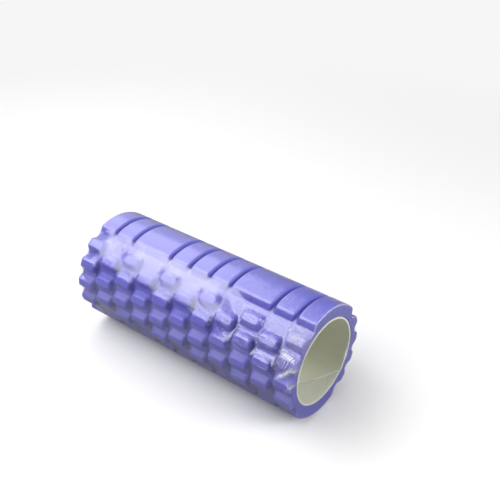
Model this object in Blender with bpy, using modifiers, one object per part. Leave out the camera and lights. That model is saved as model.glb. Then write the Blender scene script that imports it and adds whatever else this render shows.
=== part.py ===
"""Grid-pattern foam roller: a moulded foam sleeve on a rigid core tube, in a clear shrink film.

The roller lies on its side.  World frame, metres: +X along the roller's axis, +Z up, the origin
on the floor under the middle of the roller.  Each piece is modelled along its own Z axis and is
turned onto world X by the empty that all pieces hang from.

Angles on the roller are measured round the axis from straight up (world +Z) towards the front
(world -Y).  The pattern repeats after half a turn: two smooth bands of blocks, and between them
two zones of rounded knobs in staggered rows.
"""
import math

import bmesh
import bpy

# ---- driving dimensions, metres and degrees ------------------------------------------------
LENGTH = 0.330            # foam sleeve and core tube, ends flush
R_FOAM = 0.070            # outer radius over blocks and knobs
R_FLOOR = 0.0630          # radius of the sunk floor between the knobs
R_CORE_OUT = 0.0545       # core tube outside
R_CORE_IN = 0.0520        # core tube bore
GAP = 0.0003              # clearance between neighbouring pieces

PITCH = 0.0308            # lengthwise pitch of grooves and knob columns
GROOVE_STEPS = (0.5, 1.5, 3.5, 4.5)   # groove centres in pitches from mid-length, both ways
GROOVE_TOP = 0.0062       # groove width at the surface
GROOVE_BOTTOM = 0.0030    # groove width at its bottom
GROOVE_DEPTH = 0.0056

BAND_CENTRE = -16.1       # degrees, middle of the upper smooth band
BAND_HALF_TOP = 34.2      # degrees, half width of a band at the surface
BAND_HALF_BASE = 40.5     # degrees, half width of a band at the floor
ROW_STEP = 11.3           # degrees between neighbouring knob rows
ROWS = (-3, -2, -1, 0, 1, 2, 3)       # rows from the middle of a knob zone
COLUMNS = (-5, -4, -3, -2, -1, 0, 1, 2, 3, 4, 5)   # columns from mid-length, in pitches

KNOB_TOP_LONG = 0.0236    # knob top before rounding, along the roller
KNOB_TOP_WIDE = 0.0112    # knob top before rounding, round the roller
KNOB_BASE_LONG = 0.0284   # knob at the floor
KNOB_BASE_WIDE = 0.0192
KNOB_ROUND = 0.0019       # rounding of the knob's edges
KNOB_SUNK = 0.0016        # how far a knob's blank reaches below the floor

FILM = 0.0003             # film thickness
FILM_SHORT = 0.0003       # how far the film stops short of each foam end

SIDES = 72                # facets round the foam and the core
FILM_SIDES = 36           # facets round the film
OVER = 0.008              # how far blanks and cutters run past the finished ends

R_FILM_IN = R_FOAM + GAP
R_FILM_OUT = R_FILM_IN + FILM
AXIS_HEIGHT = R_FILM_OUT  # the film's lowest facet lies on the floor


# ---- scene and helpers -----------------------------------------------------------------------
for old in list(bpy.data.objects):
    bpy.data.objects.remove(old, do_unlink=True)

parts = bpy.data.collections.new("foam_roller")
cutters = bpy.data.collections.new("cutters")
bpy.context.scene.collection.children.link(parts)
bpy.context.scene.collection.children.link(cutters)

axis = bpy.data.objects.new("roller_axis", None)
axis.location = (0.0, 0.0, AXIS_HEIGHT)
axis.rotation_euler = (0.0, math.radians(90.0), 0.0)
parts.objects.link(axis)


def on_roller(radius, angle):
    """Local x, y of a point at a radius and an angle measured from straight up to the front."""
    a = math.radians(angle)
    return -radius * math.cos(a), -radius * math.sin(a)


def material(name, colour, roughness, metallic=0.0, alpha=1.0):
    mat = bpy.data.materials.new(name)
    mat.use_nodes = True
    shader = mat.node_tree.nodes["Principled BSDF"]
    shader.inputs["Base Color"].default_value = (*colour, 1.0)
    shader.inputs["Roughness"].default_value = roughness
    shader.inputs["Metallic"].default_value = metallic
    shader.inputs["Alpha"].default_value = alpha
    return mat


def add(name, mesh, collection):
    obj = bpy.data.objects.new(name, mesh)
    obj.parent = axis
    collection.objects.link(obj)
    if collection is cutters:
        obj.hide_render = True
        obj.display_type = 'WIRE'
    return obj


def turned(name, profiles, sides, collection):
    """Turn closed profiles of (radius, z) points round the axis, a facet's middle at the floor."""
    mesh = bpy.data.meshes.new(name)
    half = math.pi / sides
    grow = 1.0 / math.cos(half)      # facets touch the radius with their middles
    bm = bmesh.new()
    for profile in profiles:
        ring = [bm.verts.new((r * grow * math.cos(half), r * grow * math.sin(half), z)) for r, z in profile]
        for a, b in zip(ring, ring[1:] + ring[:1]):
            bm.edges.new((a, b))
    bm.to_mesh(mesh)
    bm.free()
    obj = add(name, mesh, collection)
    screw = obj.modifiers.new("turn", 'SCREW')
    screw.axis = 'Z'
    screw.angle = math.tau
    screw.steps = sides
    screw.render_steps = sides
    screw.use_merge_vertices = True
    screw.merge_threshold = 0.00001
    screw.use_smooth_shade = False
    return obj


def prism(name, outline, half_length):
    """A cutter: a flat outline in local x, y drawn out along the axis to both sides."""
    curve = bpy.data.curves.new(name, 'CURVE')
    curve.dimensions = '2D'
    curve.fill_mode = 'BOTH'
    curve.extrude = half_length
    spline = curve.splines.new('POLY')
    spline.points.add(len(outline) - 1)
    for point, (x, y) in zip(spline.points, outline):
        point.co = (x, y, 0.0, 1.0)
    spline.use_cyclic_u = True
    blank = bpy.data.objects.new(name, curve)
    bpy.context.scene.collection.objects.link(blank)
    bpy.context.view_layer.update()
    mesh = bpy.data.meshes.new_from_object(blank.evaluated_get(bpy.context.evaluated_depsgraph_get()))
    bpy.data.objects.remove(blank, do_unlink=True)
    bm = bmesh.new()
    bm.from_mesh(mesh)
    bmesh.ops.remove_doubles(bm, verts=bm.verts, dist=0.00001)
    bmesh.ops.recalc_face_normals(bm, faces=bm.faces)
    bm.to_mesh(mesh)
    bm.free()
    return add(name, mesh, cutters)


def cut(obj, cutter, operation='DIFFERENCE'):
    mod = obj.modifiers.new(cutter.name, 'BOOLEAN')
    mod.operation = operation
    mod.solver = 'EXACT'
    mod.object = cutter


# ---- cutters ---------------------------------------------------------------------------------
def zone_outline(centre):
    """Cross-section of a sunk knob zone: an arc at the floor, opening outwards along both walls."""
    half_floor = 90.0 - BAND_HALF_BASE
    half_top = 90.0 - BAND_HALF_TOP
    outer = R_FOAM + 0.004
    spread = (half_top - half_floor) * (outer - R_FLOOR) / (R_FOAM - R_FLOOR)
    steps = 20
    floor = [on_roller(R_FLOOR, centre - half_floor + 2 * half_floor * i / steps) for i in range(steps + 1)]
    far = half_floor + spread
    reach = outer / math.cos(math.radians(far / steps))
    arc = [on_roller(reach, centre + far - 2 * far * i / steps) for i in range(steps + 1)]
    return floor + arc


zone_front = prism("zone_front", zone_outline(BAND_CENTRE + 90.0), LENGTH / 2 + 2 * OVER)
zone_back = prism("zone_back", zone_outline(BAND_CENTRE + 270.0), LENGTH / 2 + 2 * OVER)

flare = (GROOVE_TOP - GROOVE_BOTTOM) / 2 / GROOVE_DEPTH
over_top = 0.003


def groove_profile(z):
    """Turned groove: narrow at its bottom, its walls leaning out to past the surface."""
    low, high = R_FOAM - GROOVE_DEPTH, R_FOAM + over_top
    narrow = GROOVE_BOTTOM / 2
    wide = narrow + flare * (high - low)
    return [(high, z + wide), (high, z - wide), (low, z - narrow), (low, z + narrow)]


grooves = turned("grooves", [groove_profile(side * step * PITCH) for side in (-1, 1) for step in GROOVE_STEPS],
                 SIDES, cutters)

trim_depth = 4 * OVER
trims = []
for side, label in ((1, "right"), (-1, "left")):
    mesh = bpy.data.meshes.new("trim_" + label)
    bm = bmesh.new()
    bmesh.ops.create_cube(bm, size=1.0)
    bmesh.ops.scale(bm, vec=(0.2, 0.2, trim_depth), verts=bm.verts)
    bmesh.ops.translate(bm, vec=(0.0, 0.0, side * (LENGTH + trim_depth) / 2), verts=bm.verts)
    bm.to_mesh(mesh)
    bm.free()
    trims.append(add("trim_" + label, mesh, cutters))


# ---- knobs -----------------------------------------------------------------------------------
def add_knob(bm, z, angle):
    """One knob blank: a tapered block on the floor with its top and corner edges rounded."""
    top = math.sqrt(R_FOAM ** 2 - (KNOB_TOP_WIDE / 2) ** 2)
    low = R_FLOOR - KNOB_SUNK
    run = KNOB_SUNK / (top - R_FLOOR)
    low_wide = KNOB_BASE_WIDE + run * (KNOB_BASE_WIDE - KNOB_TOP_WIDE)
    low_long = KNOB_BASE_LONG + run * (KNOB_BASE_LONG - KNOB_TOP_LONG)
    verts = bmesh.ops.create_cube(bm, size=1.0)["verts"]
    a = math.radians(angle)
    out = (-math.cos(a), -math.sin(a))
    across = (math.sin(a), -math.cos(a))
    for v in verts:
        is_top = v.co.x > 0
        r = top if is_top else low
        wide = KNOB_TOP_WIDE if is_top else low_wide
        tall = KNOB_TOP_LONG if is_top else low_long
        t, s = v.co.y * wide, v.co.z * tall
        v.co = (r * out[0] + t * across[0], r * out[1] + t * across[1], z + s)
    bm.normal_update()
    faces, rounded = [], []
    for v in verts:
        faces += [f for f in v.link_faces if f not in faces]
    base = min(faces, key=lambda f: f.calc_center_median().xy.length)
    for face in faces:
        rounded += [e for e in face.edges if e not in rounded and base not in e.link_faces]
    bmesh.ops.bevel(bm, geom=rounded, offset=KNOB_ROUND, offset_type='OFFSET', segments=2, profile=0.5,
                    affect='EDGES', clamp_overlap=True)


knob_mesh = bpy.data.meshes.new("knobs")
bm = bmesh.new()
for zone in (90.0, 270.0):
    for row in ROWS:
        for column in COLUMNS:
            if (row + column) % 2 == 0:       # every second place, so neighbouring rows are staggered
                add_knob(bm, column * PITCH, BAND_CENTRE + zone + row * ROW_STEP)
bm.to_mesh(knob_mesh)
bm.free()
knobs = add("knobs", knob_mesh, cutters)

# ---- foam sleeve -----------------------------------------------------------------------------
half = LENGTH / 2
bore = R_CORE_OUT + GAP
shrink = math.cos(math.pi / SIDES)
blank = [(R_FOAM * shrink, half + OVER), (R_FOAM * shrink, -half - OVER), (bore, -half - OVER), (bore, half + OVER)]
foam = turned("foam_sleeve", [blank], SIDES, parts)
cut(foam, zone_front)
cut(foam, zone_back)
cut(foam, grooves)
cut(foam, knobs, 'UNION')
for trim in trims:
    cut(foam, trim)
foam.data.materials.append(material("lavender_eva_foam", (0.29, 0.25, 0.72), 0.45))

# ---- core tube -------------------------------------------------------------------------------
chamfer = 0.0005
core_out = R_CORE_OUT * shrink
tube = [(core_out, half - chamfer), (core_out, -half + chamfer), (core_out - chamfer, -half),
        (R_CORE_IN + chamfer, -half), (R_CORE_IN, -half + chamfer), (R_CORE_IN, half - chamfer),
        (R_CORE_IN + chamfer, half), (core_out - chamfer, half)]
core = turned("core_tube", [tube], SIDES, parts)
core.data.materials.append(material("ivory_core_plastic", (0.60, 0.59, 0.44), 0.42))

# ---- shrink film -----------------------------------------------------------------------------
film_end = half - FILM_SHORT
skin = [(R_FILM_OUT, film_end), (R_FILM_OUT, -film_end), (R_FILM_IN, -film_end), (R_FILM_IN, film_end)]
film = turned("shrink_film", [skin], FILM_SIDES, parts)
film.data.materials.append(material("clear_shrink_film", (0.95, 0.95, 0.97), 0.08, alpha=0.15))

# ---- finished meshes, round faces shaded smooth ----------------------------------------------
for obj in (foam, core, film):
    weld = obj.modifiers.new("weld", 'WELD')
    weld.merge_threshold = 0.000002
    bpy.context.view_layer.update()
    mesh = bpy.data.meshes.new_from_object(obj.evaluated_get(bpy.context.evaluated_depsgraph_get()))
    mesh.name = obj.name
    obj.modifiers.clear()
    obj.data = mesh
    mesh.shade_smooth()
    mesh.set_sharp_from_angle(angle=math.radians(32.0))
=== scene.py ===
"""Looks of the grid-pattern foam roller: moulded foam sleeve, core tube and clear shrink film.

Angles on the roller are measured round its axis from straight up towards the front (-Y).
Lengths inside the pattern functions are in millimetres, everything handed to Blender in metres.
"""
import math

import bpy
import numpy as np
from mathutils import Matrix, Vector, noise


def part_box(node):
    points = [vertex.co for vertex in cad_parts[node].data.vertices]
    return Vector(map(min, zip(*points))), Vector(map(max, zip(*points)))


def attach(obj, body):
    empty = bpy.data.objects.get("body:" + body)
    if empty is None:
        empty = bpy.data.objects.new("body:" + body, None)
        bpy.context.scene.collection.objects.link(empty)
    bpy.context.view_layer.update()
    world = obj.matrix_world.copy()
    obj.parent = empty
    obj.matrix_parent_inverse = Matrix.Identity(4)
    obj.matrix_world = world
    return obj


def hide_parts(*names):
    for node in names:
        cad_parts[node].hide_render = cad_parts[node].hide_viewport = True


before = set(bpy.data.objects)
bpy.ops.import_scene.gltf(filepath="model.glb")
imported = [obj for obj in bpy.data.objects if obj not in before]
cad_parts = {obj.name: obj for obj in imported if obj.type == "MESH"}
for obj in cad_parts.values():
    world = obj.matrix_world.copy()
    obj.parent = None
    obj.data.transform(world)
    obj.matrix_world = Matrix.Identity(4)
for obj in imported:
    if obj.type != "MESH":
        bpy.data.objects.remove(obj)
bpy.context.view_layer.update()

core_low, core_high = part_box("core_tube")
foam_low, foam_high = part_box("foam_sleeve")
MM = 0.001
AX = (core_low.z + core_high.z) / 2            # height of the roller's axis
HALF = (foam_high.x - foam_low.x) / 2 / MM     # half length, 165 mm
R_OUT = 70.0                                   # over blocks and knobs
R_FLOOR = 63.0                                 # sunk floor between them
R_BORE = 54.8                                  # foam on the core
DEPTH = R_OUT - R_FLOOR

PITCH = 30.8
GROOVES = (0.5, 1.5, 3.5, 4.5)
BAND = -16.1                                   # middle of the upper smooth band, degrees
BAND_TOP, BAND_BASE = 34.2, 40.5               # its half widths
ROW_STEP = 11.3
ROWS = range(-3, 4)
COLUMNS = range(-5, 6)

VIOLET = (0.145, 0.136, 0.66)
FLOOR_BOUNCE = 0.28
GROUND = 0.92                                  # the even pale ground and wall, as the camera sees them
STRIP_CLING = (1.2, 40.0)


# ---------------------------------------------------------------- pattern of the foam
def soft_clamp(t, k):
    """t held between 0 and 1, both corners rounded over a width k."""
    def above(a):
        return np.where(a > k, a, np.where(a < -k, 0.0, (a + k) ** 2 / (4 * k)))
    return above(t) - above(t - 1.0)


def turn(a):
    """Angle brought into -180 to 180 degrees."""
    return (a + 180.0) % 360.0 - 180.0


def block(dx, da, half_x, run_x, half_a, run_a, corner, k):
    """Height share, 0 to 1, and edge distance of a tapered block with rounded corners."""
    c = corner / run_x
    u = (np.abs(dx) - half_x) / run_x + c
    v = (np.abs(da) - half_a) / run_a + c
    t = np.hypot(np.maximum(u, 0), np.maximum(v, 0)) + np.minimum(np.maximum(u, v), 0) - c
    return 1.0 - soft_clamp(t, k), t


def pattern(x, a):
    """Outer radius of the foam, and how near each point lies to a top edge (0 to 1), the mask of the painted highlight
    along the top edges.
    """
    x, a = np.broadcast_arrays(x, a)
    height = np.zeros(x.shape)
    edge = np.zeros(x.shape)

    def put(h, t, width):
        nonlocal height, edge
        height = np.maximum(height, h)
        edge = np.maximum(edge, np.exp(-((t - 0.02) / width) ** 2))

    lines = [-HALF - 30] + [s * g * PITCH for s in (-1, 1) for g in GROOVES] + [HALF + 30]
    lines.sort()
    for turned in (0.0, 180.0):
        da = turn(a - BAND - turned)
        near = np.abs(da) < 46
        # the plateau that the grooves are cut down to
        h, t = block(0 * x, da, 10.0, 5.0, 37.0, 3.5, 0.0, 0.3)
        height = np.maximum(height, h * 1.4 / DEPTH)
        for left, right in zip(lines[:-1], lines[1:]):
            mid, half = (left + right) / 2, (right - left) / 2 - 3.1
            h, t = block(x - mid, da, half, 2.1, BAND_TOP, BAND_BASE - BAND_TOP, 0.9, 0.16)
            put(np.where(near, h, 0), np.where(near, t, 9), 0.16)
        for row in ROWS:
            for column in COLUMNS:
                if (row + column) % 2:
                    continue
                centre = BAND + 90.0 + turned + row * ROW_STEP
                da = turn(a - centre)
                dx = x - column * PITCH
                close = (np.abs(da) < 13) & (np.abs(dx) < 19)
                if not close.any():
                    continue
                h, t = block(dx[close], da[close], 11.1, 3.1, 3.95, 4.7, 1.9, 0.2)
                hh, ee = height[close], edge[close]
                height[close] = np.maximum(hh, h)
                edge[close] = np.maximum(ee, np.exp(-((t - 0.02) / 0.18) ** 2))
    return R_FLOOR + DEPTH * height, edge


def spans(marks):
    """Sample lines through (start, step) marks, the last mark being (end, 0)."""
    out = []
    for (start, step), (end, _) in zip(marks[:-1], marks[1:]):
        n = max(1, int(round((end - start) / step)))
        out += [start + (end - start) * i / n for i in range(n)]
    out.append(marks[-1][0])
    return np.array(out)


def x_lines(dense, sparse):
    """Lines along the roller, close together at grooves and knob walls."""
    marks = [(-HALF, dense)]
    for k in range(-5, 5):
        g = (k + 0.5) * PITCH
        marks += [(g - 5.2, dense), (g + 5.2, sparse if k < 4 else dense)]
    marks += [(HALF, 0)]
    marks[0] = (-HALF, sparse)
    return spans(marks)


def a_lines(dense, sparse):
    """Lines round the roller over a full turn, close together at walls and knobs."""
    marks = []
    for t in (0.0, 180.0):
        b = BAND + t
        marks += [(b - 41.5, dense), (b - 32.8, sparse), (b + 32.8, dense), (b + 41.5, 2 * dense),
                  (b + 46.5, dense), (b + 133.5, 2 * dense)]
    marks += [(BAND + 360.0 - 41.5, 0)]
    return spans(marks)[:-1]


# ---------------------------------------------------------------- mesh helpers
def grid_mesh(name, rows_x, rows_r, angles, closed_rows):
    """A tube of rows round the axis. rows_x and rows_r hold one value per row and angle, in mm."""
    n, m = rows_x.shape
    a = np.radians(angles)[None, :]
    co = np.empty((n, m, 3))
    co[..., 0] = rows_x * MM
    co[..., 1] = -rows_r * np.sin(a) * MM
    co[..., 2] = AX + rows_r * np.cos(a) * MM
    last = n if closed_rows else n - 1
    i = np.arange(last)[:, None]
    j = np.arange(m)[None, :]
    i2, j2 = (i + 1) % n, (j + 1) % m
    quads = np.stack([i * m + j, i * m + j2, i2 * m + j2, i2 * m + j], -1).reshape(-1, 4)
    return mesh_from(name, co.reshape(-1, 3), quads)


def mesh_from(name, co, quads):
    mesh = bpy.data.meshes.new(name)
    mesh.vertices.add(len(co))
    mesh.vertices.foreach_set("co", np.ascontiguousarray(co, dtype=np.float32).ravel())
    mesh.loops.add(quads.size)
    mesh.loops.foreach_set("vertex_index", np.ascontiguousarray(quads, dtype=np.int32).ravel())
    mesh.polygons.add(len(quads))
    mesh.polygons.foreach_set("loop_start", np.arange(0, quads.size, 4, dtype=np.int32))
    mesh.update(calc_edges=True)
    mesh.validate()
    mesh.shade_smooth()
    obj = bpy.data.objects.new(name, mesh)
    bpy.context.scene.collection.objects.link(obj)
    return obj


def give(obj, name, values):
    attribute = obj.data.attributes.new(name, "FLOAT", "POINT")
    attribute.data.foreach_set("value", np.ascontiguousarray(values, dtype=np.float32).ravel())


def field(x, a, scale, seed, octaves=3):
    """Smooth noise on the roller's surface, about -1 to 1, with features of a size in mm."""
    x, a = np.broadcast_arrays(x, a)
    r = R_OUT / scale
    flat = zip((x / scale).ravel(), (r * np.sin(np.radians(a))).ravel(), (r * np.cos(np.radians(a))).ravel())
    offset = Vector((17.3 * seed, 9.1 * seed, 5.7 * seed))
    values = [noise.fractal(Vector(p) + offset, 1.0, 2.0, octaves) for p in flat]
    return np.array(values).reshape(x.shape)


# ---------------------------------------------------------------- foam sleeve
RHO = 0.9                                       # rounded rim of both ends
RIM = [(math.sin(p), math.cos(p)) for p in (math.radians(d) for d in (0, 30, 60, 90))]


def moulding():
    """Sample lines, outer radius and edge share of the foam, shared by the foam and the film on it."""
    xs, an = x_lines(0.75, 3.6), a_lines(0.75, 2.8)
    xs = xs[(xs > -HALF + RHO + 0.05) & (xs < HALF - RHO - 0.05)]
    r, edge = pattern(xs[:, None], an[None, :])
    return xs, an, r + 0.10 * field(xs[:, None], an[None, :], 22.0, 1, 2), edge


def foam_sleeve(xs, an, r, edge):
    rho, rim = RHO, RIM
    X = [np.full(an.shape, x) for x in xs]
    R = list(r)
    E = list(edge)
    for side in (1, -1):
        base, base_edge_highlight = (r[-1], edge[-1]) if side > 0 else (r[0], edge[0])
        ends_x, ends_r, ends_e = [], [], []
        for s, c in rim:
            ends_x.append(np.full(an.shape, side * (HALF - rho + rho * s)))
            ends_r.append(base - rho + rho * c)
            # painted highlight: the rounded rim gets at least 0.75 of the top-edge lightening
            ends_e.append(np.maximum(base_edge_highlight, 0.75))
        inner = base - rho
        for share in (0.18, 0.5, 0.82, 0.97):
            dip = 0.10 * math.sin(math.pi * share)
            ends_x.append(np.full(an.shape, side * (HALF - dip)))
            ends_r.append(inner + (R_BORE + 0.5 - inner) * share)
            ends_e.append(np.zeros(an.shape))
        ends_x.append(np.full(an.shape, side * (HALF - 0.08)))
        ends_r.append(np.full(an.shape, R_BORE + 0.4))
        ends_e.append(np.zeros(an.shape))
        ends_x.append(np.full(an.shape, side * (HALF - 0.5)))
        ends_r.append(np.full(an.shape, R_BORE))
        ends_e.append(np.zeros(an.shape))
        if side > 0:
            X, R, E = X + ends_x, R + ends_r, E + ends_e
        else:
            X, R, E = ends_x[::-1] + X, ends_r[::-1] + R, ends_e[::-1] + E
    for share in (0.25, 0.5, 0.75):             # the bore, back to the first row
        X.append(np.full(an.shape, HALF * (1 - 2 * share)))
        R.append(np.full(an.shape, R_BORE))
        E.append(np.zeros(an.shape))
    obj = grid_mesh("foam_sleeve_moulded", np.array(X), np.array(R), an, True)
    # edge: where the foam's colour is lightened as a painted highlight along top edges and rims
    give(obj, "edge", np.array(E))
    # depth share below the tops, the mask of the painted shade on the sunk floor
    sunk_shade = np.clip((R_OUT - np.array(R)) / DEPTH, 0, 1)
    give(obj, "sunk_shade", sunk_shade)
    # painted shade in narrow slots: the grooves, and the gaps between neighbouring knobs, are darkened where little
    # light gets in, but not along the open strips beside the bands
    beside = np.abs((np.array(X) / PITCH) % 1.0 - 0.5) * PITCH
    open_strip = span_of(an, BAND + 36.0, BAND + 66.0, 5.0) + span_of(an, BAND + 216.0, BAND + 246.0, 5.0)
    give(obj, "slot_shade", sunk_shade * np.exp(-(beside / 2.8) ** 2) * (1 - np.clip(open_strip, 0, 1)))
    return obj


# ---------------------------------------------------------------- core tube
def core_tube():
    outer, inner, fillet = 54.5, 52.0, 0.55
    n = 288
    an = np.arange(n) * 360.0 / n
    ends = []
    for d in (0, 30, 60, 90):
        p = math.radians(d)
        ends.append((HALF - fillet + fillet * math.sin(p), outer - fillet + fillet * math.cos(p)))
    for d in (90, 60, 30, 0):
        p = math.radians(d)
        ends.append((HALF - fillet + fillet * math.sin(p), inner + fillet - fillet * math.cos(p)))
    profile = [(-x, r) for x, r in ends][::-1]
    profile = profile + ends[:]
    inside = [(HALF - 4.0, inner)] + [(x, inner) for x in np.linspace(HALF - 14.0, -HALF + 14.0, 22)] + [(-HALF + 4.0, inner)]
    profile = profile + inside
    X = np.array([[x] * n for x, r in profile], float)
    R = np.array([[r] * n for x, r in profile], float)
    # slightly uneven sawn ends and a slightly uneven bore, as extruded pipe has
    at_end = np.clip((np.abs(X) - (HALF - 0.7)) / 0.7, 0, 1)
    wobble = 0.07 * np.sin(np.radians(an * 5 + 40))[None, :] + 0.05 * np.sin(np.radians(an * 13))[None, :]
    X = X + np.sign(X) * at_end * (wobble - 0.12)
    bore = R < inner + 0.2
    R = R + bore * (0.05 * np.sin(np.radians(an * 3 + 10))[None, :] + 0.025 * np.sin(np.radians(an * 22 + 5))[None, :])
    return grid_mesh("core_tube_ivory", X, R, an, True)


# ---------------------------------------------------------------- shrink film
def relax(x, a, low, cling, rounds=1200, tension=0.8):
    """A skin shrunk on to the foam, never below low. cling 1 is the pull of its own hoop tension."""
    hx = np.diff(x)
    up = np.r_[hx, hx[-1]][:, None]
    down = np.r_[hx[0], hx][:, None]
    x_up, x_down = 2 * tension / (up * (up + down)), 2 * tension / (down * (up + down))
    ha = np.radians(np.diff(np.r_[a, a[0] + 360.0])) * R_OUT
    on, back = ha[None, :], np.roll(ha, 1)[None, :]
    a_on, a_back = 2 / (on * (on + back)), 2 / (back * (on + back))
    total = x_up + x_down + a_on + a_back
    drop = cling / R_OUT
    f = np.maximum(low, R_OUT + 0.3)
    for _ in range(rounds):
        above = np.vstack([f[1:], f[-2:-1]])
        below = np.vstack([f[1:2], f[:-1]])
        g = (x_up * above + x_down * below + a_on * np.roll(f, -1, 1) + a_back * np.roll(f, 1, 1) - drop) / total
        f = np.maximum(low, g)
    return f


def bump_at(x, a, x0, a0, wide_x, wide_a):
    """A soft spot, 1 in its middle."""
    return np.exp(-(((x - x0) / wide_x) ** 2 + (turn(a - a0) / wide_a) ** 2))


def span_of(a, start, end, soft):
    """1 between two angles, 0 outside, with soft ends."""
    mid, half = (start + end) / 2, (end - start) / 2
    return 0.5 - 0.5 * np.tanh((np.abs(turn(a - mid)) - half) / soft)


def widest(low):
    out = low
    for axis in (0, 1):
        if axis == 0:
            near = (np.vstack([out[1:], out[-1:]]), np.vstack([out[:1], out[:-1]]))
        else:
            near = (np.roll(out, 1, 1), np.roll(out, -1, 1))
        out = np.maximum(out, np.maximum(*near))
    return out


# free edge of the film over the right end: (angle, radius); it is drawn straight across the lower part of the mouth
FLAP_FROM, FLAP_TO = 84.0, 226.0
LIP = ((-134.0, 52.6), (-128.0, 50.2), (-116.0, 47.5), (-104.0, 46.6), (-96.0, 47.6), (-88.0, 51.5), (-78.0, 54.6),
       (-60.0, 55.6), (0.0, 55.3), (40.0, 55.7), (66.0, 55.2), (84.0, 55.6))


def mouth_edge(a, right):
    """Radius that the film reaches in to over an end, for each angle."""
    waves = 0.5 * np.sin(np.radians(3 * a + 20)) + 0.35 * np.sin(np.radians(11 * a)) + 0.25 * np.sin(np.radians(23 * a + 50))
    if not right:
        return 55.4 + waves
    r = np.interp(turn(a), [p[0] for p in LIP], [p[1] for p in LIP])
    across = 0.4112 * np.sin(np.radians(a)) - 0.9116 * np.cos(np.radians(a))
    full = a % 360.0
    chord = 17.6 / np.maximum(across, 0.2) + 1.1 * np.sin(np.radians(full - FLAP_FROM) * 1.27) ** 2
    return np.where((full > FLAP_FROM) & (full < FLAP_TO), np.minimum(chord, 55.6), r + 0.5 * waves)


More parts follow.
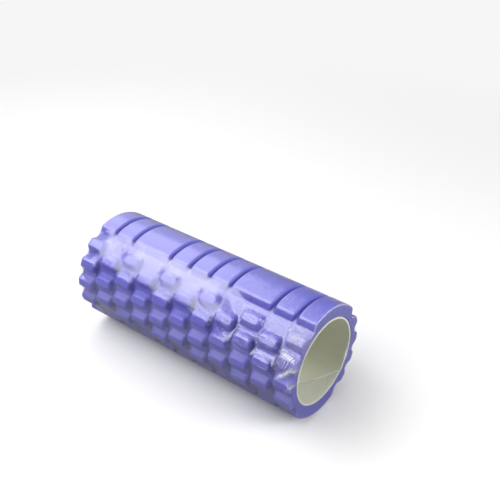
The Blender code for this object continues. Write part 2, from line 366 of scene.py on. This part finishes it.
def film(xs, an, foam_r):
    x, a = xs[:, None], an[None, :]
    low = foam_r + 0.14
    low = low + 0.35 * (widest(low) - low)
    # taut from knob to knob, pressed on to the band, and sinking in between the two more and more to the right
    band = span_of(a, BAND - 37.0, BAND + 37.0, 2.5)
    slack = np.clip((x - 48.0) / 34.0, 0, 1)
    strip = span_of(a, BAND + 37.0, BAND + 66.0 + 13.0 * slack, 3.5)
    sink = STRIP_CLING[0] * (STRIP_CLING[1] / STRIP_CLING[0]) ** slack
    cling = 1.2 + 8.0 * band * (1 - strip)
    cling = cling * (1 - strip) + sink * strip
    cling = cling * (1.0 + 0.3 * field(x, a, 40.0, 21, 2)) + 14.0 * np.exp(-((HALF - np.abs(x)) / 9.0) ** 2) * (
        1 - 0.9 * span_of(a, 60.0, 125.0, 4.0) * (x > 0))
    cling = cling + 60.0 * bump_at(x, a, 150.0, 50.0, 14.0, 5.0)
    f = relax(xs, an, low, cling, rounds=1200)
    gap = f - low
    loose = np.clip(gap / 1.2, 0, 1)
    f = np.maximum(low, f + loose * (0.08 * field(x, a, 5.0, 3, 2) + 0.16 * field(x, a, 16.0, 4, 2)))

    # fine drawn lines where the film sinks in at the right
    drawn = slack * span_of(a, 28.0, 74.0, 5.0) * (1 - np.clip(np.abs(field(x * 0.55, a, 6.0, 51, 3)) / 0.16, 0, 1)) ** 1.5
    f = f + 0.3 * drawn
    # crumples near the right end: pleats over one knob, and a star of white creases below it
    s1, t1 = x - 157.5, turn(a - 70.5) * math.pi / 180 * R_OUT
    p, q = 0.656 * s1 - 0.755 * t1, 0.755 * s1 + 0.656 * t1
    star = np.exp(-(p / 9.0) ** 2 - (q / (1.5 + 0.9 * np.abs(field(x, a, 5.0, 41, 2)) + 0.08 * np.abs(p))) ** 2)
    star = star + 0.55 * np.exp(-((p + 10.5) / 4.5) ** 2 - ((q + 0.5) / 0.9) ** 2)
    pleats = bump_at(x, a, 152.0, 62.0, 10.0, 7.0)
    ridge = 0.6 * bump_at(x, a, 151.0, 56.2 + 0.10 * (x - 151.0), 10.0, 1.7)
    arcs = sum(0.5 * np.exp(-((np.hypot(x - cx, turn(a - ca) * 1.22) - cr) / 0.8) ** 2) * bump_at(x, a, bx, ba, 5.0, 6.0)
               for cx, ca, cr, bx, ba in ((150.0, 82.0, 13.5, 163.0, 84.0), (172.0, 76.0, 12.0, 161.0, 83.0),
                                          (126.0, 66.0, 13.0, 127.0, 77.0)))
    fan = 0.5 + 0.5 * np.cos(math.tau * (x + 0.25 * turn(a - 62.0)) / 3.4 + 2.5 * field(x, a, 9.0, 42, 2))
    folds = 1 - np.clip(np.abs(field(x, a, 6.0, 7, 3)) / 0.18, 0, 1)
    # whiteness of the crumples: partly stress whitening of the creased film, partly painted highlight where they catch
    # the light
    whitening_and_painted_glare = np.clip(2.6 * star * (0.4 + 0.6 * folds) + 2.4 * ridge * (0.4 + 0.6 * fan) + 0.9 * arcs + 0.65 * pleats * fan ** 2, 0, 1)
    # painted highlight: a soft glare patch over the knob top near the right end, added to the whiteness; it also lifts
    # the film a little
    glare = bump_at(x, a, 152.0, 36.0, 14.0, 9.0) * (0.4 + 0.6 * fan)
    whitening_and_painted_glare = np.clip(whitening_and_painted_glare + 0.55 * glare + 0.3 * drawn, 0, 1)
    f = f + 0.65 * pleats * fan ** 2 + 1.0 * np.clip(star, 0, 1) * (0.3 + 0.7 * folds) + 0.3 * ridge + 0.4 * arcs + 0.5 * glare
    shine = 1.0 - 0.9 * in_groove(x, a)
    X = [np.full(an.shape, v) for v in xs]
    R, G, M, S = list(f), list(gap), list(whitening_and_painted_glare), list(shine)
    out = 0.16
    for side in (1, -1):
        base = (f[-1] if side > 0 else f[0]) - out
        white = M[-1] if side > 0 else M[0]
        reach = mouth_edge(an if side > 0 else an + 130.0, side > 0)
        pleat = np.abs(field(np.full(len(an), 3.0 * side), an, 7.0, 11 if side > 0 else 12, 2))
        span = base - RHO - reach
        ex, er, em, eg = [], [], [], []
        for s, c in RIM[1:]:
            ex.append(np.full(an.shape, side * (HALF - RHO + (RHO + out) * s)))
            er.append(base - RHO + (RHO + out) * c)
            # painted highlight: the film's fold over the rim is whitened on the upper side, -75 to 35 degrees, where
            # it catches the light
            em.append(np.maximum(white, 0.05 + 0.40 * span_of(an, -75.0, 35.0, 10.0)))
            eg.append(0.3 + 0 * base)
        shares = (0.06, 0.16, 0.28, 0.4, 0.52, 0.64, 0.74, 0.83, 0.9, 0.95, 0.985, 1.0)
        for share in shares:
            r = base - RHO - span * share
            over = np.clip((R_BORE - r) / 8.0, 0, 1)             # over the open mouth: slack, with faint creases
            crease = field(np.full(len(an), 11.0 * side + 0.02 * r.mean()), an + r, 12.0, 51, 2)
            sag = -over * (0.9 * np.sin(math.pi * np.clip(share, 0, 1)) + 0.3 * crease)
            ex.append(side * (HALF + out + 0.12 + 0.5 * share * pleat * (1 - over)) + side * (sag + over * 0.5))
            er.append(r)
            line = math.exp(-((1 - share) * span.mean() / 0.9) ** 2)
            near_rim = np.exp(-(turn(an + 132.0) / 42.0) ** 2)
            # painted highlight: a white line along the film's free edge over the mouth, wider and stronger round -132
            # degrees; partly the whitened rolled edge of the film
            free_edge_highlight = np.exp(-((1 - share) * span / (0.7 + 0.8 * near_rim)) ** 2)
            fade = 0.35 + 0.65 * near_rim
            em.append(np.clip(white * (1 - share) * (1 - over) + free_edge_highlight * 1.6 * fade * over ** 0.3
                              + 0.02 * over + 0.02
                              + 0.9 * over ** 0.5 * span_of(an, -136.0, -82.0, 4.0) * np.clip(0.35 + 1.6 * crease, 0, 1), 0, 1))
            eg.append(0.3 + 0 * base)
        lit = [1.0 + 0 * base for _ in ex]
        if side > 0:
            X, R, G, M, S = X + ex, R + er, G + eg, M + em, S + lit
        else:
            X, R, G, M, S = ex[::-1] + X, er[::-1] + R, eg + G, em[::-1] + M, lit + S
    obj = grid_mesh("shrink_film_clear", np.array(X), np.array(R), an, False)
    give(obj, "gap", np.array(G))
    give(obj, "whitening_and_painted_glare", np.array(M))
    give(obj, "shine", np.array(S))
    return obj


def in_groove(x, a):
    """1 inside the cross grooves of the smooth bands, 0 elsewhere."""
    inside = 0 * x
    for g in GROOVES:
        inside = np.maximum(inside, 1 - np.clip((np.abs(np.abs(x) - g * PITCH) - 2.6) / 0.8, 0, 1))
    band = 0 * a
    for turned in (0.0, 180.0):
        band = np.maximum(band, 1 - np.clip((np.abs(turn(a - BAND - turned)) - 35.5) / 3.0, 0, 1))
    return inside * band


# ---------------------------------------------------------------- materials
class Nodes:
    """Short names for building a node tree."""
    def __init__(self, name):
        self.mat = bpy.data.materials.new(name)
        self.mat.use_nodes = True
        self.tree = self.mat.node_tree
        self.tree.nodes.clear()
        self.out = self.tree.nodes.new("ShaderNodeOutputMaterial")

    def new(self, kind, **values):
        node = self.tree.nodes.new("ShaderNode" + kind)
        for key, value in values.items():
            if hasattr(node, key):
                setattr(node, key, value)
            else:
                node.inputs[key.replace("_", " ")].default_value = value
        return node

    def link(self, a, b):
        self.tree.links.new(a, b)

    def noise(self, where, scale, detail=3.0, rough=0.55):
        n = self.new("TexNoise", Scale=scale, Detail=detail, Roughness=rough)
        self.link(where, n.inputs["Vector"])
        return n.outputs["Fac"]

    def span(self, value, low, high, to_low=0.0, to_high=1.0):
        n = self.new("MapRange")
        self.link(value, n.inputs["Value"])
        for key, v in (("From Min", low), ("From Max", high), ("To Min", to_low), ("To Max", to_high)):
            n.inputs[key].default_value = v
        return n.outputs["Result"]

    def math(self, kind, a, b=None):
        n = self.new("Math")
        n.operation = kind
        for k, v in enumerate((a, b)):
            if v is None:
                continue
            if isinstance(v, (int, float)):
                n.inputs[k].default_value = v
            else:
                self.link(v, n.inputs[k])
        return n.outputs[0]

    def mix(self, fac, a, b, blend="MIX"):
        n = self.new("Mix")
        n.data_type = 'RGBA'
        n.blend_type = blend
        sockets = {s.identifier: s for s in n.inputs}
        for key, v in (("Factor_Float", fac), ("A_Color", a), ("B_Color", b)):
            if isinstance(v, (int, float)):
                sockets[key].default_value = v
            elif isinstance(v, tuple):
                sockets[key].default_value = (*v, 1.0)
            else:
                self.link(v, sockets[key])
        return [s for s in n.outputs if s.identifier == "Result_Color"][0]

    def attribute(self, name):
        n = self.new("Attribute")
        n.attribute_name = name
        return n.outputs["Fac"]


def foam_material():
    n = Nodes("violet_eva_foam")
    where = n.new("TexCoord").outputs["Object"]
    broad = n.noise(where, 22.0, 2.0)
    cells = n.noise(where, 1500.0, 2.0, 0.6)
    mottle = n.noise(where, 160.0, 3.0)
    grain = n.noise(where, 620.0, 2.0, 0.6)
    edge, sunk_shade = n.attribute("edge"), n.attribute("sunk_shade")
    base = n.mix(n.span(broad, 0.3, 0.7), (VIOLET[0] * 0.90, VIOLET[1] * 0.88, VIOLET[2] * 0.95),
                 (VIOLET[0] * 1.10, VIOLET[1] * 1.12, VIOLET[2] * 1.04))
    base = n.mix(n.span(mottle, 0.35, 0.75, 0.0, 0.35), base, (VIOLET[0] * 1.25, VIOLET[1] * 1.28, VIOLET[2] * 1.10))
    base = n.mix(n.span(cells, 0.55, 0.8, 0.0, 0.4), base, (VIOLET[0] * 0.75, VIOLET[1] * 0.72, VIOLET[2] * 0.85))
    base = n.mix(n.span(grain, 0.36, 0.64, 0.0, 0.55), base, (VIOLET[0] * 1.32, VIOLET[1] * 1.35, VIOLET[2] * 1.12))
    # painted highlight: lighter colour along the top edges of blocks and knobs and round the end rims
    base = n.mix(n.math("MULTIPLY", edge, 0.45), base, (VIOLET[0] * 1.8, VIOLET[1] * 1.85, min(1.0, VIOLET[2] * 1.3)))
    # painted shade: darker colour on the sunk floor, deeper means darker
    base = n.mix(n.math("MULTIPLY", sunk_shade, 0.6), base, (VIOLET[0] * 0.74, VIOLET[1] * 0.70, VIOLET[2] * 0.86))
    # painted shade: much darker colour in the grooves and the narrow gaps between knobs
    base = n.mix(n.math("MULTIPLY", n.attribute("slot_shade"), 0.9), base, (VIOLET[0] * 0.30, VIOLET[1] * 0.26, VIOLET[2] * 0.45))
    shader = n.new("BsdfPrincipled")
    shader.inputs["Sheen Weight"].default_value = 0.08
    shader.inputs["Sheen Roughness"].default_value = 0.5
    shader.inputs["Specular IOR Level"].default_value = 0.60
    n.link(base, shader.inputs["Base Color"])
    n.link(n.span(mottle, 0.3, 0.7, 0.32, 0.42), shader.inputs["Roughness"])
    bump = n.new("Bump", Strength=0.35, Distance=0.00025)
    n.link(n.math("ADD", n.math("MULTIPLY", cells, 0.8), n.math("MULTIPLY", mottle, 0.8)), bump.inputs["Height"])
    n.link(bump.outputs["Normal"], shader.inputs["Normal"])
    n.link(shader.outputs[0], n.out.inputs["Surface"])
    return n.mat


def core_material():
    n = Nodes("ivory_pipe_plastic")
    where = n.new("TexCoord").outputs["Object"]
    stretched = n.new("Mapping")
    stretched.inputs["Scale"].default_value = (0.03, 1.0, 1.0)
    n.link(where, stretched.inputs["Vector"])
    streak = n.noise(stretched.outputs[0], 260.0, 3.0, 0.6)
    wide = n.noise(stretched.outputs[0], 45.0, 2.0)
    speck = n.noise(where, 900.0, 2.0)
    base = n.mix(n.span(streak, 0.35, 0.68), (0.89, 0.90, 0.77), (0.92, 0.93, 0.80))
    base = n.mix(n.span(wide, 0.35, 0.65, 0.0, 0.5), base, (0.86, 0.88, 0.74))
    base = n.mix(n.span(speck, 0.62, 0.8, 0.0, 0.3), base, (0.78, 0.78, 0.64))
    shader = n.new("BsdfPrincipled")
    shader.inputs["Specular IOR Level"].default_value = 0.5
    n.link(base, shader.inputs["Base Color"])
    n.link(n.span(streak, 0.3, 0.7, 0.34, 0.48), shader.inputs["Roughness"])
    bump = n.new("Bump", Strength=0.25, Distance=0.0002)
    n.link(n.math("ADD", streak, n.math("MULTIPLY", speck, 0.3)), bump.inputs["Height"])
    n.link(bump.outputs["Normal"], shader.inputs["Normal"])
    n.link(shader.outputs[0], n.out.inputs["Surface"])
    return n.mat


def film_material():
    n = Nodes("clear_shrink_film")
    where = n.new("TexCoord").outputs["Object"]
    ripple = n.noise(where, 240.0, 3.0, 0.6)
    fine = n.noise(where, 1100.0, 3.0, 0.65)
    gap, white, shiny = n.attribute("gap"), n.attribute("whitening_and_painted_glare"), n.attribute("shine")
    bump = n.new("Bump", Strength=0.7, Distance=0.0006)
    n.link(n.math("ADD", ripple, n.math("MULTIPLY", n.math("MULTIPLY", fine, white), 1.6)), bump.inputs["Height"])
    gloss = n.new("BsdfGlossy", Roughness=0.2)
    gloss.inputs["Color"].default_value = (1.0, 1.0, 1.0, 1.0)
    n.link(bump.outputs["Normal"], gloss.inputs["Normal"])
    clear = n.new("BsdfTransparent")
    clear.inputs["Color"].default_value = (1.0, 1.0, 1.0, 1.0)
    whitening_and_painted_glare = n.new("BsdfDiffuse")
    whitening_and_painted_glare.inputs["Color"].default_value = (0.90, 0.90, 0.96, 1.0)
    n.link(bump.outputs["Normal"], whitening_and_painted_glare.inputs["Normal"])
    # share reflected by the film's faces, the same seen from either side
    tilt = n.new("LayerWeight", Blend=0.5)
    n.link(bump.outputs["Normal"], tilt.inputs["Normal"])
    glance = n.math("MULTIPLY", n.math("POWER", tilt.outputs["Facing"], 4.0), 0.9)
    # less where it is pressed to the foam than where it hangs free
    shine = n.new("MixShader")
    n.link(n.math("MULTIPLY", n.math("ADD", glance, n.span(gap, 0.0, 0.5, 0.087, 0.122)), shiny), shine.inputs["Fac"])
    n.link(clear.outputs[0], shine.inputs[1])
    n.link(gloss.outputs[0], shine.inputs[2])
    # stress whitening in the creases, together with the painted highlights of the crumples, the glare patch, the rim
    # fold and the free edge, finely broken up
    broken = n.span(n.noise(where, 520.0, 4.0, 0.7), 0.34, 0.54, 0.45, 1.0)
    haze = n.math("ADD", n.span(gap, 0.3, 3.0, 0.004, 0.015), n.math("MULTIPLY", n.math("MULTIPLY", white, broken), 1.05))
    body = n.new("MixShader")
    n.link(haze, body.inputs["Fac"])
    n.link(shine.outputs[0], body.inputs[1])
    n.link(whitening_and_painted_glare.outputs[0], body.inputs[2])
    n.link(body.outputs[0], n.out.inputs["Surface"])
    return n.mat


def floor_material():
    n = Nodes("pale_floor")
    where = n.new("TexCoord").outputs["Object"]
    cloud = n.noise(where, 1.3, 2.0)
    shader = n.new("BsdfPrincipled", Roughness=0.75)
    pale = n.mix(cloud, (0.95, 0.95, 0.955), (0.97, 0.97, 0.975))
    # the floor gives back less light than it shows, as if the pale sheet ended just round the roller
    seen = n.new("LightPath").outputs["Is Camera Ray"]
    n.link(n.mix(seen, (FLOOR_BOUNCE, FLOOR_BOUNCE, FLOOR_BOUNCE), pale), shader.inputs["Base Color"])
    # away from the roller it runs out into the same even pale ground as the wall behind
    tree = n.mat.node_tree
    away = tree.nodes.new("ShaderNodeVectorMath")
    away.operation = "LENGTH"
    n.link(tree.nodes.new("ShaderNodeNewGeometry").outputs["Position"], away.inputs[0])
    ground = tree.nodes.new("ShaderNodeEmission")
    ground.inputs["Color"].default_value = (GROUND, GROUND, GROUND, 1.0)
    blend = tree.nodes.new("ShaderNodeMixShader")
    n.link(n.math("MULTIPLY", n.span(away.outputs["Value"], 0.32, 1.1), seen), blend.inputs[0])
    n.link(shader.outputs[0], blend.inputs[1])
    n.link(ground.outputs[0], blend.inputs[2])
    n.link(blend.outputs[0], n.out.inputs["Surface"])
    return n.mat


# ---------------------------------------------------------------- pieces
xs, an, foam_r, foam_edge_highlight = moulding()
sleeve = foam_sleeve(xs, an, foam_r, foam_edge_highlight)
sleeve.data.materials.append(foam_material())
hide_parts("foam_sleeve")
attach(sleeve, "root")

tube = core_tube()
tube.data.materials.append(core_material())
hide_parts("core_tube")
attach(tube, "root")

skin = film(xs, an, foam_r)
skin.data.materials.append(film_material())
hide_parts("shrink_film")
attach(skin, "root")

# ---------------------------------------------------------------- stage, light and camera
floor_mesh = bpy.data.meshes.new("floor")
floor_mesh.from_pydata([(-6, -6, 0), (6, -6, 0), (6, 6, 0), (-6, 6, 0)], [], [(0, 1, 2, 3)])
floor = bpy.data.objects.new("floor", floor_mesh)
floor.location.z = -0.0004
bpy.context.scene.collection.objects.link(floor)
floor.data.materials.append(floor_material())


def softbox(name, position, target, width, height, power, colour=(1.0, 1.0, 1.0)):
    light = bpy.data.lights.new(name, 'AREA')
    light.shape = 'RECTANGLE'
    light.size, light.size_y = width, height
    light.energy = power
    light.color = colour
    obj = bpy.data.objects.new(name, light)
    obj.location = position
    obj.rotation_euler = (Vector(target) - Vector(position)).to_track_quat('-Z', 'Y').to_euler()
    bpy.context.scene.collection.objects.link(obj)
    return obj


middle = (0.0, 0.0, AX)
softbox("key", (-0.55, -0.75, 1.12), middle, 1.70, 1.40, 21.0)
back = softbox("back", (-1.02, 0.62, 1.20), (-1.02, 0.62, 0.0), 0.95, 1.95, 9.5)
back.rotation_euler = (0.0, 0.0, math.radians(23.5))
softbox("right", (1.50, 0.50, 0.77), middle, 0.9, 0.9, 18.0)

world = bpy.data.worlds.new("studio")
world.use_nodes = True
sky = world.node_tree
direction = sky.nodes.new("ShaderNodeTexCoord")
split = sky.nodes.new("ShaderNodeSeparateXYZ")
sky.links.new(direction.outputs["Generated"], split.inputs[0])


def ramp(axis, start, end, low, high):
    node = sky.nodes.new("ShaderNodeMapRange")
    node.interpolation_type = 'SMOOTHSTEP'
    for key, value in (("From Min", start), ("From Max", end), ("To Min", low), ("To Max", high)):
        node.inputs[key].default_value = value
    sky.links.new(split.outputs[axis], node.inputs["Value"])
    return node.outputs["Result"]


# white wall behind and to the left of the roller, white ceiling, dimmer room in front
wall, ceiling = ramp("Y", -0.5, 0.6, 0.06, 0.62), ramp("Z", 0.15, 0.9, 0.0, 0.30)
side = ramp("X", -0.54, -0.42, 1.0, 0.15)
left_part = sky.nodes.new("ShaderNodeMath")
left_part.operation = 'MULTIPLY'
sky.links.new(wall, left_part.inputs[0])
sky.links.new(side, left_part.inputs[1])
wall = left_part.outputs[0]
brightest = sky.nodes.new("ShaderNodeMath")
brightest.operation = 'MAXIMUM'
sky.links.new(wall, brightest.inputs[0])
sky.links.new(ceiling, brightest.inputs[1])
seen = sky.nodes.new("ShaderNodeMath")                  # plain and pale where the camera looks past the floor
seen.operation = 'MULTIPLY'
sky.links.new(sky.nodes.new("ShaderNodeLightPath").outputs["Is Camera Ray"], seen.inputs[0])
seen.inputs[1].default_value = GROUND
shown = sky.nodes.new("ShaderNodeMath")
shown.operation = 'MAXIMUM'
sky.links.new(brightest.outputs[0], shown.inputs[0])
sky.links.new(seen.outputs[0], shown.inputs[1])
sky.links.new(shown.outputs[0], sky.nodes["Background"].inputs["Strength"])
sky.nodes["Background"].inputs["Color"].default_value = (1.0, 1.0, 1.0, 1.0)
bpy.context.scene.world = world
bpy.context.scene.view_settings.view_transform = 'Standard'

# the roller's axes seen from the camera: right, down and forward shares of world X, Y and Z
ALONG = Vector((0.7891, 0.3371, -0.5135))
BACK = Vector((0.6142, -0.4210, 0.6675))
UP = Vector((0.00885, -0.8421, -0.5393))
right = Vector((ALONG[0], BACK[0], UP[0])).normalized()
forward = Vector((ALONG[2], BACK[2], UP[2]))
forward = (forward - right * forward.dot(right)).normalized()
down = forward.cross(right)
eye = Vector((HALF * MM, 0.0, AX)) + Vector((0.3689, -0.6203, 0.6078))
camera_data = bpy.data.cameras.new("camera")
camera_data.sensor_width = 36.0
camera_data.lens = 36.0 * 823.5 / 500.0
camera_data.clip_start = 0.01
camera = bpy.data.objects.new("camera", camera_data)
camera.matrix_world = Matrix(((right.x, -down.x, -forward.x, eye.x), (right.y, -down.y, -forward.y, eye.y),
                              (right.z, -down.z, -forward.z, eye.z), (0, 0, 0, 1)))
bpy.context.scene.collection.objects.link(camera)
bpy.context.scene.camera = camera

bpy.context.view_layer.update()
